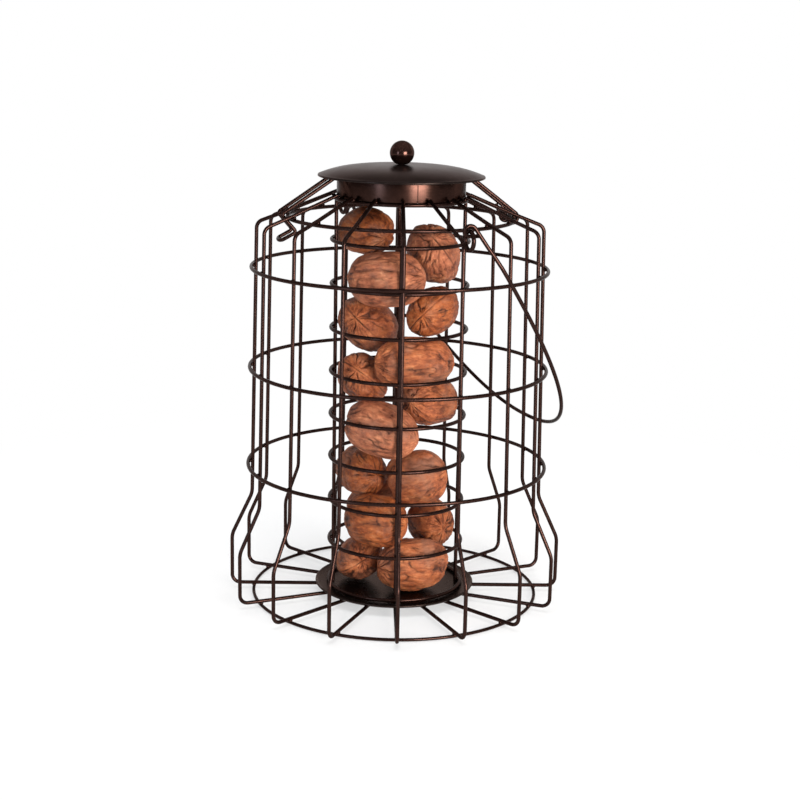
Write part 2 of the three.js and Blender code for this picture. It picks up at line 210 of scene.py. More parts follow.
def ramp(tree, share, stops):
    """The colour at a share, from stops of (position, colour)."""
    node = add(tree, "ValToRGB", {"Fac": share})
    elements = node.color_ramp.elements
    while len(elements) < len(stops):
        elements.new(0.5)
    for element, (position, colour) in zip(elements, stops):
        element.position = position
        element.color = (*colour, 1)
    return node.outputs["Color"]


def mix_colours(tree, share, under, over):
    inputs = {"Fac": share, "Color1": under, "Color2": (*over, 1)}
    return add(tree, "MixRGB", inputs).outputs["Color"]


def bump(tree, height, strength, distance, under=None):
    """The normal of a relief, which may lie on top of another's normal."""
    inputs = {"Height": height, "Strength": strength, "Distance": distance}
    if under is not None:
        inputs["Normal"] = under
    return add(tree, "Bump", inputs).outputs["Normal"]


def attribute(tree, name):
    return add(tree, "Attribute", {}, attribute_name=name).outputs["Fac"]


def object_point(tree):
    return add(tree, "TexCoord", {}).outputs["Object"]


def new_material(name):
    material = bpy.data.materials.new(name)
    material.use_nodes = True
    tree = material.node_tree
    return material, tree, tree.nodes["Principled BSDF"]


# Materials

def coated_metal(name, dark, light, roughness, metallic=1.0, edge=(0.52, 0.51, 0.505),
                 grain=1400, peel=0.02 * MM):
    """A baked antique coating: cloudy tone, fine speckle and a faint orange peel.

    edge is the tint where the coat is seen edge on. Below 1 it doesn't flare white there. Below
    about 0.5 a dark coat loses its green and blue at 60 to 70 degrees, and gleams red.
    grain is how fine the speckle is, and peel how high, in metres.
    """
    material, tree, shader = new_material(name)
    point = object_point(tree)
    clouds = noise_texture(tree, point, 120, 5, roughness=0.6)
    speckle = noise_texture(tree, point, grain, 2)
    speckle_share = 0.35
    cloudy = maths(tree, "MULTIPLY_ADD", speckle, speckle_share, clouds)
    smoother, rougher = grey(roughness * 0.92), grey(roughness * 1.12)
    feed(tree, shader, {
        "Base Color": ramp(tree, cloudy, [(0.4, dark), (0.95, light)]),
        "Metallic": metallic,
        "Roughness": ramp(tree, clouds, [(0.3, smoother), (0.75, rougher)]),
        "Specular IOR Level": 0.2,
        "Specular Tint": (*edge, 1),
        "Normal": bump(tree, speckle, 0.4, peel),
    })
    return material


fine_peel = 0.006 * MM
wire_coat = coated_metal(
    "wire_coat", (0.022, 0.0108, 0.0090), (0.046, 0.0225, 0.0180),
    roughness=0.26, metallic=0.9, peel=fine_peel)
dome_coat = coated_metal(
    "dome_coat", (0.0155, 0.0110, 0.0098), (0.030, 0.0212, 0.0190),
    roughness=0.30, metallic=0.82, edge=(0.53, 0.465, 0.452))
skirt_coat = coated_metal(
    "skirt_coat", (0.026, 0.0126, 0.0100), (0.052, 0.0250, 0.0190), roughness=0.25)
plate_coat = coated_metal(
    "plate_coat", (0.018, 0.0125, 0.0112), (0.034, 0.0232, 0.0202),
    roughness=0.27, metallic=0.85, edge=(0.60, 0.528, 0.504))
ball_coat = coated_metal(
    "ball_coat", (0.036, 0.0172, 0.0140), (0.064, 0.0310, 0.0245),
    roughness=0.17, metallic=0.9, peel=fine_peel)
zinc = coated_metal(
    "zinc_plate", (0.30, 0.29, 0.27), (0.45, 0.44, 0.41),
    roughness=0.35, edge=(1, 1, 1), grain=2500)


def walnut_shell():
    """Dry shell: orange-brown to tan, mauve dust, painted shade in furrows and seam, fibres and fine
    pits.
    """
    material, tree, shader = new_material("walnut_shell")
    # Each nut takes its colours from another place in the noise.
    nut_offset = add(tree, "VectorMath", {
        0: add(tree, "ObjectInfo", {}).outputs["Random"],
        1: (0.37, 0.53, 0.71),
        2: object_point(tree),
    }, operation="MULTIPLY_ADD")
    point = nut_offset.outputs[0]
    # Fibres run along the nut, which is its own Y.
    stretched = add(tree, "Mapping", {"Vector": point, "Scale": (1, 0.32, 1)}).outputs[0]
    patches = noise_texture(tree, point, 110, 6, roughness=0.62)
    fibres = noise_texture(tree, stretched, 520, 6, roughness=0.7, distortion=0.5)
    pits = noise_texture(tree, point, 1300, 5, roughness=0.75)
    dust = noise_texture(tree, point, 60, 5, roughness=0.65)

    fibre_share = 0.55
    patch_tone = maths(tree, "MULTIPLY", patches, 1 - fibre_share)
    tone = maths(tree, "MULTIPLY_ADD", fibres, fibre_share, patch_tone)
    base = ramp(tree, tone, [
        (0.37, (0.095, 0.019, 0.005)), (0.46, (0.285, 0.067, 0.018)),
        (0.55, (0.435, 0.118, 0.032)), (0.66, (0.620, 0.232, 0.088))])
    # Each nut has its own depth of colour, from deep and reddish to pale and dusty.
    paleness = attribute(tree, "paleness")
    own = add(tree, "HueSaturation", {
        "Color": base,
        "Saturation": map_range(tree, paleness, (0, 1), (1.00, 0.91)),
        "Value": map_range(tree, paleness, (0, 1), (0.90, 1.06)),
    }).outputs["Color"]
    dust_share = ramp(tree, dust, [(0.50, grey(0)), (0.66, grey(0.65))])
    dusty = mix_colours(tree, dust_share, own, (0.290, 0.136, 0.086))
    # The painted shade in the furrows is broken into patches, so that no line has one tone from end to
    # end.
    broken = map_range(tree, fibres, (0.3, 0.62), (0.45, 1.15))
    furrow_share = maths(tree, "MULTIPLY", attribute(tree, "furrow_shade"), broken, clamp=True)

    rough = bump(tree, fibres, 0.9, 0.7 * MM)
    feed(tree, shader, {
        # The near-black brown is painted shade in the furrows and the seam's crack.
        "Base Color": mix_colours(tree, furrow_share, dusty, (0.042, 0.012, 0.006)),
        "Roughness": 0.6,
        "Specular IOR Level": 0.25,
        "Normal": bump(tree, pits, 0.8, 0.3 * MM, under=rough),
    })
    return material


nut_shell = walnut_shell()


# Geometry helpers

def around(a, r, z):
    """The angle runs from the front, which faces -Y, towards +X."""
    return Vector((r * math.sin(a), -r * math.cos(a), z))


def radial(azimuth_deg, r, z):
    return around(math.radians(azimuth_deg), r, z)


def steps(start, end, count):
    """The values at count even steps from start to end, with both ends."""
    return [start + (end - start) * k / count for k in range(count + 1)]


def smooth(value, low, high):
    """0 up to low, 1 from high on, and an eased rise between them."""
    share = min(max((value - low) / (high - low), 0), 1)
    return share * share * (3 - 2 * share)


def circle(r, z, cuts=96):
    """A ring's stations, from the front rib on."""
    return [radial(rib_turn_deg + 360 * k / cuts, r, z) for k in range(cuts)]


def arc(centre, radius, start_deg, end_deg, cuts=6):
    """Points of (radius, height) on an arc in a profile."""
    angles = [math.radians(a) for a in steps(start_deg, end_deg, cuts)]
    return [(centre[0] + radius * math.cos(a), centre[1] + radius * math.sin(a)) for a in angles]


def rounded(corners, radii, cuts=8):
    """The path through the corners, each inner corner bent to its radius."""
    stations = [corners[0]]
    for before, corner, after, radius in zip(corners, corners[1:], corners[2:], radii):
        back = (before - corner).normalized()
        on = (after - corner).normalized()
        half = back.angle(on) / 2
        reach = radius / math.tan(half)
        centre = corner + (back + on).normalized() * (radius / math.sin(half))
        first = corner + back * reach - centre
        last = corner + on * reach - centre
        axis = first.cross(last).normalized()
        for turn in steps(0, first.angle(last), cuts):
            stations.append(Matrix.Rotation(turn, 3, axis) @ first + centre)
    stations.append(corners[-1])
    return stations


def place(obj, body, material, replaced=()):
    """Adds a piece with its material, hangs it on the body it rides on, and hides the nodes that it
    replaces.
    """
    bpy.context.scene.collection.objects.link(obj)
    obj.data.materials.append(material)
    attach(obj, body)
    if replaced:
        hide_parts(*replaced)
    return obj


def wire(node, stations, radius, body, closed=False):
    """A round wire through the stations, in place of the node's six-sided one."""
    curve = bpy.data.curves.new(node + "_round", "CURVE")
    curve.dimensions = "3D"
    curve.bevel_depth = radius * MM
    curve.bevel_resolution = 4
    curve.use_fill_caps = True
    line = curve.splines.new("POLY")
    line.points.add(len(stations) - 1)
    for point, station in zip(line.points, stations):
        point.co = (*(station * MM), 1)
    line.use_cyclic_u = closed
    line.use_smooth = True
    obj = bpy.data.objects.new(node + "_round", curve)
    return place(obj, body, wire_coat, [node])


def add_row(rows, vertices, row):
    """Adds a row of vertices, and their numbers to the rows."""
    rows.append(list(range(len(vertices), len(vertices) + len(row))))
    vertices += row


def bridge(rows, closed):
    """Faces between neighbouring rows of vertex numbers. Each row is a ring.

    Where closed, the last row joins the first. A row may repeat one vertex, such as a point on
    the axis, and its faces are triangles.
    """
    faces = []
    for low, high in zip(rows, rows[1:] + (rows[:1] if closed else [])):
        for k in range(len(low)):
            j = (k + 1) % len(low)
            face = list(dict.fromkeys([low[k], low[j], high[j], high[k]]))
            if len(face) > 2:
                faces.append(face)
    return faces


def mesh_object(name, vertices, faces, sharp_deg):
    """A smooth mesh that keeps edges sharper than sharp_deg as edges."""
    mesh = bpy.data.meshes.new(name)
    mesh.from_pydata([tuple(Vector(v) * MM) for v in vertices], [], faces)
    mesh.validate()
    made = bmesh.new()
    made.from_mesh(mesh)
    bmesh.ops.recalc_face_normals(made, faces=made.faces)
    for face in made.faces:
        face.smooth = True
    for edge in made.edges:
        if len(edge.link_faces) == 2:
            edge.smooth = edge.calc_face_angle(0) < math.radians(sharp_deg)
    made.to_mesh(mesh)
    made.free()
    return bpy.data.objects.new(name, mesh)


def baked(name, made):
    """The bmesh as a new mesh. The bmesh is freed."""
    mesh = bpy.data.meshes.new(name)
    made.to_mesh(mesh)
    made.free()
    return mesh


def turned(name, profile, sharp_deg, cuts, closed=True):
    """A profile of (radius, height) pairs turned about Z. Points on the axis become one vertex."""
    vertices, rows = [], []
    for r, z in profile:
        if r < 1e-6:
            rows.append([len(vertices)] * cuts)
            vertices.append((0, 0, z))
        else:
            add_row(rows, vertices, [radial(360 * k / cuts, r, z) for k in range(cuts)])
    return mesh_object(name, vertices, bridge(rows, closed), sharp_deg)


# Cage

def cage_radius(z):
    """The ribs lean in a little from the flare to the top."""
    return cage_r + (cage_top_r - cage_r) * (z - flare_high_z) / (cage_top_z - flare_high_z)


for i, azimuth in enumerate(rib_azimuths, 1):
    corners = [radial(azimuth, r, z) for r, z in (
        (rib_inner_end_r, foot_z), (rib_foot_r, foot_z), (rib_foot_r, flare_low_z),
        (cage_r, flare_high_z), (cage_top_r, cage_top_z), (shoulder_r, shoulder_z),
        (neck_end_r, neck_end_z))]
    bends = [rib_bend_r, flare_bend_r, flare_bend_r, rib_bend_r, flare_bend_r]
    wire(f"cage_rib_{i:02d}", rounded(corners, bends), wire_r, "cage")

wire("neck_ring", circle(neck_ring_r, neck_ring_z), wire_r, "cage", closed=True)
wire("shoulder_ring", circle(shoulder_r, shoulder_ring_z), wire_r, "cage", closed=True)
for name, z in hoop_heights.items():
    wire(name, circle(cage_radius(z) + touch, z), wire_r, "cage", closed=True)
wire("foot_ring", circle(foot_ring_r, foot_ring_z), flat_half, "cage", closed=True)

for i, azimuth in enumerate(upright_azimuths, 1):
    ends = [radial(azimuth, upright_r, floor_z + weld_gap),
            radial(azimuth, upright_r, neck_ring_z - wire_r - weld_gap)]
    wire(f"tube_upright_{i}", ends, wire_r, "cage")
for i, z in enumerate(band_heights, 1):
    wire(f"tube_band_{i}", circle(band_r, z, cuts=72), wire_r, "cage", closed=True)


# Base plate

flat_r = plate_r - plate_rim_w
flat_ring_r = flat_r * 0.6
rim_foot_r = flat_r + 0.8
rim_edge_r = plate_t / 2
plate = turned("base_plate_pressed", [
    (0, plate_z), (flat_ring_r, plate_z), (flat_r, plate_z), (rim_foot_r, plate_z + 0.12),
    (plate_r - 0.5, plate_z + plate_rim_rise - 0.15),
    *arc((plate_r - rim_edge_r, plate_z + plate_rim_rise + rim_edge_r), rim_edge_r, -80, 90),
    (rim_foot_r, floor_z + 0.15), (flat_r, floor_z), (flat_ring_r, floor_z), (0, floor_z),
], sharp_deg=40, cuts=120, closed=False)
place(plate, "cage", plate_coat, ["base_plate"])


# Lid dome

stud_hole_r = stud_r + 0.1


def dome_height(r):
    """The height of the dome's upper side."""
    return lid_top_z - lid_rise * (r / lid_r) ** lid_crown_power


def under_dome(r):
    """The height of a wire's middle where it lies under the dome."""
    return dome_height(r) - lid_t - weld_gap - wire_r


def dome_profile():
    """Over the crown, round the edge and the lip, and back under the crown."""
    rings = 28
    crown_end_r = lid_r - 0.5
    edge_r = 0.6
    edge_centre = (lid_r - edge_r, dome_height(lid_r - edge_r) - edge_r)
    lip_r = lid_t / 2
    lip_z = lid_rim_z - lid_lip + 0.2
    return [
        *((r, dome_height(r)) for r in steps(stud_hole_r, crown_end_r, rings)),
        *arc(edge_centre, edge_r, 60, 0, 5),
        (lid_r, lip_z),
        *arc((lid_r - lip_r, lip_z), lip_r, -20, -160, 5),
        (lid_r - lid_t, lip_z + 0.2),
        *((r, dome_height(r) - lid_t) for r in steps(lid_r - lid_t, stud_hole_r, rings)),
    ]


dome = turned("lid_dome_pressed", dome_profile(), sharp_deg=60, cuts=144)
place(dome, "lid", dome_coat, ["lid_dome"])


# Spring wire, which is turned from the front by the lid's own turn, as the skirt's seam is

lid_turn = Matrix.Rotation(math.radians(lid_turn_deg), 3, "Z")
spring_seat_r = skirt_r
spring_seat_z = under_dome(spring_seat_r)
spring_mid_r = nut_flange_r + wire_r
spring_mid_z = under_dome(spring_mid_r)


def spring_stations():
    """Out along one strand from hook to tab, round the tab's bow, and back along the other."""
    side = spring_gap_w / 2
    run = shoulder_r - spring_seat_r
    drop = spring_seat_z - shoulder_ring_z
    # The hook leaves the strand at the angle where the strand touches its circle.
    start = math.atan2(drop, -run) - math.acos(hook_r / math.hypot(run, drop))
    hook = [(shoulder_r + hook_r * math.cos(a), shoulder_ring_z + hook_r * math.sin(a))
            for a in steps(start, -math.pi, 20)]
    hook.append((shoulder_r - hook_r - stub_lean, shoulder_ring_z + stub_rise))

    def strand(y):
        near = [Vector((x, y, z)) for x, z in reversed(hook)]
        corners = [Vector((x, y, z)) for x, z in (
            (spring_mid_r, spring_mid_z),
            (-spring_mid_r, spring_mid_z),
            (-spring_seat_r, spring_seat_z),
            (-shoulder_r - latch_out, shoulder_ring_z + latch_up),
            (-shoulder_r + latch_in, shoulder_ring_z - latch_down),
            (-shoulder_r - tab_out, shoulder_ring_z - tab_down))]
        seat = Vector((spring_seat_r, y, spring_seat_z))
        return near + [seat] + rounded(corners, [latch_bend_r] * 4)

    out = strand(side)
    back = list(reversed(strand(-side)))
    tab = out[-1]
    tab_way = Vector((-tab_out - latch_in, 0, latch_down - tab_down)).normalized()
    bow = [Vector((tab.x, side * math.cos(a), tab.z)) + tab_way * (wire_d * math.sin(a))
           for a in steps(0, math.pi, 16)[1:-1]]
    return [lid_turn @ p for p in out + bow + back]


wire("lid_spring_wire", spring_stations(), wire_r, "lid")


# Skirt and the lap behind its seam

# The skirt's lower edge sits just clear of the neck ring's inner shoulder.
skirt_low_z = neck_ring_z + 0.72
skirt_high_z = dome_height(skirt_r) - lid_t - weld_gap


def bent_strip(name, start, end, cuts, section_at):
    """A strip bent round Z, with the (radius, height) section that section_at(angle) gives."""
    vertices, rows = [], []
    for a in steps(start, end, cuts):
        add_row(rows, vertices, [lid_turn @ around(a, r, z) for r, z in section_at(a)])
    ends = [rows[0], rows[-1][::-1]]
    return mesh_object(name, vertices, bridge(rows, closed=False) + ends, sharp_deg=50)


def skirt_section(a):
    """The rolled wall: a beaded lower edge, and a notch where a spring strand passes."""
    inner = skirt_r - skirt_t
    height = skirt_high_z - skirt_low_z
    notch_depth = skirt_high_z - (spring_seat_z - wire_r - 2 * weld_gap)
    notch_half = wire_r + weld_gap + 0.25
    beside_strand = abs(abs(skirt_r * math.cos(a)) - spring_gap_w / 2)
    crossed = abs(math.sin(a)) > 0.9 and beside_strand < notch_half
    top = height - notch_depth if crossed else height
    return [(r, skirt_low_z + z) for r, z in (
        (inner, 0), (skirt_r - 0.25, 0), (skirt_r - 0.03, 0.18), (skirt_r, 0.45),
        (skirt_r - 0.02, height * 0.5),
        (skirt_r, top - 0.3), (skirt_r - 0.15, top), (inner, top))]


seam_half = skirt_seam_w / skirt_r / 2
skirt = bent_strip("lid_skirt_rolled", seam_half, 2 * math.pi - seam_half, 180, skirt_section)
place(skirt, "lid", skirt_coat, ["lid_skirt"])


def lap_section(a):
    """The strip's own end, which is lapped behind the seam."""
    outer = skirt_r - skirt_t - 0.02
    inner = outer - 0.5
    low, high = skirt_low_z + 0.2, skirt_high_z - 0.2
    return [(inner, low), (outer, low), (outer, high), (inner, high)]


lap_half = 2.4 / skirt_r
lap = bent_strip("lid_skirt_lap", -lap_half, lap_half, 8, lap_section)
place(lap, "lid", skirt_coat)


# Ball on its stud, and the nut under the dome

nut_flange_z = spring_mid_z - wire_r - weld_gap
stud_low_z = nut_flange_z - nut_flange_t - nut_h


def ball_profile():
    """Up the threaded stud and over the ball, which is seated on the dome."""
    seat_angle = math.asin(stud_d / ball_r)
    centre_z = lid_top_z + weld_gap + ball_r * math.cos(seat_angle)
    profile = [(0, stud_low_z), (stud_r - 0.3, stud_low_z), (stud_r, stud_low_z + 0.3)]
    pitch = 0.5
    thread_depth = 0.18
    thread_h = lid_top_z - 1.6 - stud_low_z
    for k in range(int(thread_h / pitch)):
        z = stud_low_z + 0.4 + pitch * k
        profile += [(stud_r, z), (stud_r - thread_depth, z + pitch / 2)]
    profile += [(stud_r, lid_top_z - 1), (stud_r, lid_top_z + 0.05)]
    for a in steps(math.pi - seat_angle, 0, 40):
        profile.append((ball_r * math.sin(a), centre_z + ball_r * math.cos(a)))
    return profile


ball = turned("ball_knob_polished", ball_profile(), sharp_deg=50, cuts=72, closed=False)
place(ball, "lid", ball_coat, ["ball_knob"])


def flange_nut():
    """A pressed flange with a chamfered hexagon under it."""
    cuts = 72
    flange_low_z = nut_flange_z - nut_flange_t
    low_z = stud_low_z + weld_gap
    chamfer_r = nut_across / 2 + 0.1

    def hexagon(a):
        from_flat = (a + math.pi / 6) % (math.pi / 3) - math.pi / 6
        return nut_across / 2 / math.cos(from_flat)

    def section(a):
        side = hexagon(a)
        return [
            (stud_hole_r, nut_flange_z), (nut_flange_r - 0.3, nut_flange_z),
            (nut_flange_r, nut_flange_z - 0.25), (nut_flange_r, flange_low_z + 0.35),
            (nut_flange_r - 0.6, flange_low_z), (side + 0.25, flange_low_z - 0.05),
            (side, flange_low_z - 0.3), (side, low_z + 0.4),
            (min(side, chamfer_r), low_z + 0.1), (nut_across / 2 - 0.3, low_z),
            (stud_hole_r + 0.3, low_z), (stud_hole_r, low_z + 0.3)]

    angles = steps(0, 2 * math.pi, cuts)[:-1]
    vertices, rows = [], []
    for row in zip(*(section(a) for a in angles)):
        add_row(rows, vertices, [around(a, r, z) for a, (r, z) in zip(angles, row)])
    return mesh_object("flange_nut_formed", vertices, bridge(rows, closed=True), sharp_deg=35)


place(flange_nut(), "lid", zinc, ["flange_nut"])


# Eyes

for node, azimuth in (("bail_eye_front", bail_azimuth_deg), ("bail_eye_back", bail_azimuth_deg + 180)):
    turns = steps(0, 2 * math.pi, 48)[:-1]
    loop = [radial(azimuth, eye_centre_r + eye_r * math.cos(a), eye_centre_z + eye_r * math.sin(a))
            for a in turns]
    wire(node, loop, eye_wire_r, "cage", closed=True)


# Weld beads at the crossings. A bead is its middle, the way it is squeezed, and its radius.

bead_r = 1.15
eye_bead_r = 1.5
Bead = namedtuple("Bead", "at squeeze radius", defaults=(UP, bead_r))


def crossings():
    """Ribs with the rings and the plate, uprights with bands, neck and plate, and the two eyes."""
    for azimuth in rib_azimuths:
        out = radial(azimuth, 1, 0)
        neck_end = radial(azimuth, neck_end_r, neck_end_z)
        yield Bead((neck_end + radial(azimuth, neck_ring_r, neck_ring_z)) / 2)
        yield Bead(radial(azimuth, shoulder_r, (shoulder_z + shoulder_ring_z) / 2))
        for z in hoop_heights.values():
            yield Bead(radial(azimuth, cage_radius(z) + touch / 2, z), out)
        yield Bead(radial(azimuth, foot_ring_r, (foot_ring_z + foot_z) / 2))
        yield Bead(radial(azimuth, plate_r - plate_rim_w - wire_r, foot_z + wire_r))
    for azimuth in upright_azimuths:
        out = radial(azimuth, 1, 0)
        for z in band_heights:
            yield Bead(radial(azimuth, upright_r + touch / 2, z), out)
        yield Bead(radial(azimuth, upright_r, neck_ring_z - wire_r))
        yield Bead(radial(azimuth, upright_r, floor_z))
    for azimuth in (bail_azimuth_deg, bail_azimuth_deg + 180):
        z = eye_centre_z - eye_r * 0.35
        rib_side_r = cage_radius(z) + wire_r
        eye_side_r = eye_centre_r - eye_d / 2
        middle = radial(azimuth, (rib_side_r + eye_side_r) / 2, z)
        yield Bead(middle, radial(azimuth, 1, 0), eye_bead_r)


def weld_beads(name, body, beads):
    flattened = 0.8
    lumpiness = 0.12
    made = bmesh.new()
    for at, squeeze, radius in beads:
        before = len(made.verts)
        bmesh.ops.create_icosphere(made, subdivisions=2, radius=1)
        made.verts.ensure_lookup_table()
        turn = UP.rotation_difference(squeeze.normalized())
        for vertex in made.verts[before:]:
            lump = 1 + lumpiness * noise.noise(vertex.co * 1.7 + at)
            local = vertex.co * Vector((1, 1, flattened)) * (radius * lump)
            vertex.co = (turn @ local + at) * MM
    mesh = baked(name, made)
    mesh.shade_smooth()
    return place(bpy.data.objects.new(name, mesh), body, wire_coat)


weld_beads("cage_welds", "cage", crossings())


# Bail

def bail_stations():
    """The curl through the front eye and the leg down to the middle, and the same mirrored."""
    rest = math.radians(bail_rest_deg)
    along = radial(bail_azimuth_deg, 1, 0)
    out = UP.cross(along)
    down = out * math.sin(rest) - UP * math.cos(rest)
    face = out * math.cos(rest) + UP * math.sin(rest)
    pivot = UP * eye_top_z
    # e is how far out a station lies along the bail's axis.
    curl_top_e = eye_centre_r + curl_shift / 2

    half = []
    last = -math.pi / 2
    first = last - 2 * math.pi + (math.pi / 2 + rest)
    curl_cuts = 28
    leg_cuts = 72
    curl_e = steps(curl_top_e - curl_shift, curl_top_e, curl_cuts)
    for turn, e in zip(steps(last, first, curl_cuts), curl_e):
        aside, above = curl_r * math.cos(turn), curl_r * math.sin(turn)
        half.append(along * e + pivot + out * aside + UP * above)
    half.insert(0, half[0] + out * curl_stub)
    for turn in steps(0, math.pi / 2, leg_cuts)[1:]:
        depth = bail_depth * math.sin(turn) ** (2 / bail_depth_power)
        width = bail_half_w * abs(math.cos(turn)) ** (2 / bail_width_power)
        splay = smooth(depth, 0, bail_splay_depth)
        e = curl_top_e + (width - curl_top_e) * splay
        half.append(along * e + pivot + face * curl_r + down * depth)
    other = [p - along * (2 * p.dot(along)) for p in half[:-1]]
    return half + other[::-1]


wire("bail", bail_stations(), wire_r, "bail")


# Walnuts: each is fitted to the middle, the axes and the reach of its solid

def solid_axes(node):
    """A nut's matrix, with its middle and Y along it to its more pointed tip, and its half sizes."""
    points = np.array([v.co[:] for v in frame["nodes"][node].data.vertices], float)
    points = np.unique(np.round(points, 7), axis=0)
    centre = (points.max(0) + points.min(0)) / 2
    from_mean = points - points.mean(0)
    values, vectors = np.linalg.eigh(np.cov(from_mean.T))
    wide, long_axis = vectors[:, 1], vectors[:, 2]
    along = from_mean @ long_axis
    if along.max() < -along.min():
        long_axis = -long_axis
    turn = np.column_stack([wide, long_axis, np.cross(wide, long_axis)])
    local = (points - centre) @ turn
    low, high = local.min(0), local.max(0)
    centre = centre + turn @ ((low + high) / 2)
    return Matrix([[*turn[i], centre[i]] for i in range(3)] + [[0, 0, 0, 1]]), (high - low) / 2


# Furrows follow the zero lines of a noise. bend says how far the flow bends them, shift which
# part of the noise they take, and narrow how narrow they are. They sink by depth, and get painted
# shade by line in the middle and by soft to their sides. The powers draw both in to the middle.
Furrow = namedtuple("Furrow", "bend shift narrow depth depth_power line line_power soft")
broad_furrow = Furrow(1.0, 1.0, 3.0, 0.052, 1.5, 0.85, 5, 0.16)
wrinkle_furrow = Furrow(1.5, 1.3, 2.8, 0.027, 1.5, 0.60, 4, 0.12)
cross_furrow = Furrow(2.0, 1.7, 3.6, 0.013, 1.5, 0.26, 4, 0)
fibre_furrow = Furrow(2.5, 0.7, 2.2, 0.009, 1, 0.34, 3, 0)

walnut_rings = 120
walnut_cuts = 160
# The bare shell's share of its solid's size, which leaves room for what swells
shell_share = 0.967
blunt_power = 2.5
tip_rise = 0.040
tip_power = 16
seam_w = 0.20
seam_rise = 0.034
seam_wander = 0.05
split_w = 0.030
split_depth = 0.032
# How much painted shade the seam's crack gets at its middle.
split_shade = 0.95
# (how often, which part of the noise, how high)
lumps = ((1.3, 0.6, 0.044), (3.1, 0.8, 0.022), (8.5, 1, 0.005))
pits_rise = 0.0025
tip_deepening = 0.6
seam_calm = 0.75


def shell_point(polar, a, start):
    """The shell's point, on a nut of half size 1, and the painted shade its furrows and seam crack get
    there.

    polar runs from the more pointed tip, and a round the nut. start is the nut's place in the
    noise.
    """
    x, y, z = math.sin(polar) * math.cos(a), math.cos(polar), math.sin(polar) * math.sin(a)
    at = Vector((x, y, z))
    off_axis = math.hypot(x, z)
    meridian = Vector((math.cos(a), 0, math.sin(a)))
    # A slow flow and a finer one bend the furrows.
    flow = noise.noise_vector(at * 1.5 + start) * 0.55 + noise.noise_vector(at * 4.5 + start) * 0.16
    # Broad furrows wander along the meridians, and narrower ones branch between them. strong says
    # in which patches the broad ones show, and weak in which the wrinkles and cross furrows do.
    strong = 0.25 + 0.75 * smooth(noise.noise(at * 1.9 + start * 2.1), -0.25, 0.35)
    weak = 0.20 + 0.80 * smooth(noise.noise(at * 2.6 + start * 2.9), -0.20, 0.40)
    valley = line = 0
    for furrow, lane, strength in (
            (broad_furrow, meridian * 1.8 + Vector((0, y * 0.8, 0)), strong),
            (wrinkle_furrow, meridian * 4.6 + Vector((0, y * 1.1, 0)), weak),
            (cross_furrow, Vector((x, y * 1.1, z)) * 3.3, weak),
            (fibre_furrow, meridian * 10.5 + Vector((0, y * 2.6, 0)), off_axis)):
        value = noise.noise(lane + flow * furrow.bend + start * furrow.shift)
        near = max(1 - abs(value) * furrow.narrow, 0)
        valley += furrow.depth * near ** furrow.depth_power * strength
        # line gathers the painted shade that each furrow gets.
        line += (furrow.line * near ** furrow.line_power + furrow.soft * near) * strength

    wander = seam_wander * noise.noise(at * 2.4 + start * 3.1)
    off_seam = abs(math.atan2(z, abs(x)) + wander) * max(off_axis, 0.05)
    ridge = math.exp(-((off_seam / seam_w) ** 2))
    split = math.exp(-((off_seam / split_w) ** 2)) * (0.35 + 0.65 * weak)
    # The furrows deepen towards both tips, where they meet, and fade on the seam's ridge.
    furrow_share = (1 + tip_deepening * smooth(abs(y), 0.6, 0.97)) * (1 - seam_calm * ridge)

    blunt = (abs(y) ** blunt_power + off_axis ** blunt_power) ** (-1 / blunt_power)
    swell = seam_rise * ridge + tip_rise * max(y, 0) ** tip_power
    for often, shift, height in lumps:
        swell += height * noise.noise(at * often + start * shift)
    swell += pits_rise * noise.noise(Vector((x, y * 0.5, z)) * 17 + start)
    scale = blunt * (shell_share + swell - valley * furrow_share - split_depth * split)
    # Painted shade: the furrows and the seam's crack are darkened in colour, where shade falls in them.
    dark = min(1, line * furrow_share + split_shade * split)
    return (x * scale, y * scale, z * scale), dark


def walnut(number, paleness):
    """A blunt shell with a raised seam round its long way, furrows that meet at both tips, and lumps."""
    node = f"walnut_{number:02d}"
    matrix, half = solid_axes(node)
    start = Vector((number * 7.31, number * 3.77, number * 5.13))
    vertices, furrow_shade, rows = [], [], []
    for polar in steps(0, math.pi, walnut_rings):
        ring = [shell_point(polar, a, start) for a in steps(0, 2 * math.pi, walnut_cuts)[:-1]]
        add_row(rows, vertices, [[p * reach for p, reach in zip(point, half)] for point, dark in ring])
        furrow_shade += [dark for point, dark in ring]
    mesh = bpy.data.meshes.new(node + "_shell")
    mesh.from_pydata(vertices, [], bridge(rows, closed=False))
    # This attribute carries the painted shade of the furrows and the seam's crack to the shell's colour.
    for name, values in (("furrow_shade", furrow_shade), ("paleness", [paleness] * len(vertices))):
        mesh.attributes.new(name, "FLOAT", "POINT").data.foreach_set("value", values)
    made = bmesh.new()
    made.from_mesh(mesh)
    bmesh.ops.remove_doubles(made, verts=made.verts, dist=1e-7)
    bmesh.ops.recalc_face_normals(made, faces=made.faces)
    made.to_mesh(mesh)
    made.free()
    mesh.shade_smooth()
    obj = bpy.data.objects.new(node + "_shell", mesh)
    obj.matrix_world = matrix
    return place(obj, "cage", nut_shell, [node])


# In the photograph some nuts are paler than the rest, and some deeper.
walnut_count = 16
pale_nuts = (5, 8, 14, 15)
deep_nuts = (3, 6, 13, 16)
for number in range(1, walnut_count + 1):
    walnut(number, 1.0 if number in pale_nuts else 0.0 if number in deep_nuts else 0.4)


# Studio

def stage_piece(name, made, material):
    """A piece of the studio, which is no part of the object."""
    mesh = baked(name, made)
    mesh.materials.append(material)
    obj = bpy.data.objects.new(name, mesh)
    bpy.context.scene.collection.objects.link(obj)
    return obj


